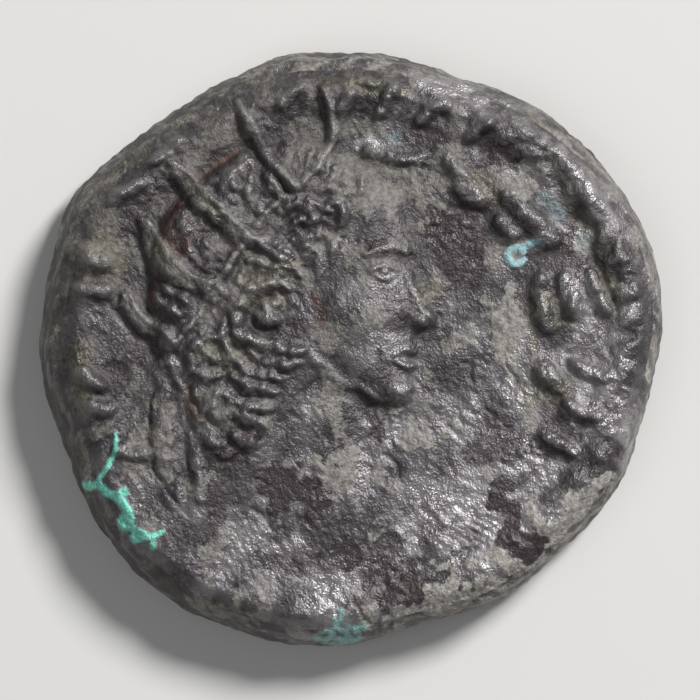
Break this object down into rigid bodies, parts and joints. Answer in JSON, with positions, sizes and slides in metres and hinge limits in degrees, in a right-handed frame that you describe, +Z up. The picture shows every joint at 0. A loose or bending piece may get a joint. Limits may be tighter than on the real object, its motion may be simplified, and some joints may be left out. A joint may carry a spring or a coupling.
{
  "type": "tetradrachm coin",
  "caption": "Worn ancient tetradrachm of dark billon: an uneven struck disc with a crowned head in relief on one side and a standing eagle on the other.",
  "frame": {"origin": "under the middle of the coin, on the surface that it lies on", "axes": "+Z up from the reverse through the head side, +X to the right and +Y to the top of the head as it is seen from above"},
  "size_m": [0.0244, 0.0232, 0.0043],
  "materials": {
    "billon": "dark purplish brown, worn and pitted silver alloy with a few pale rubbed patches and green corrosion"
  },
  "bodies": {
    "root": {"coin": "billon"}
  },
  "joints": []
}
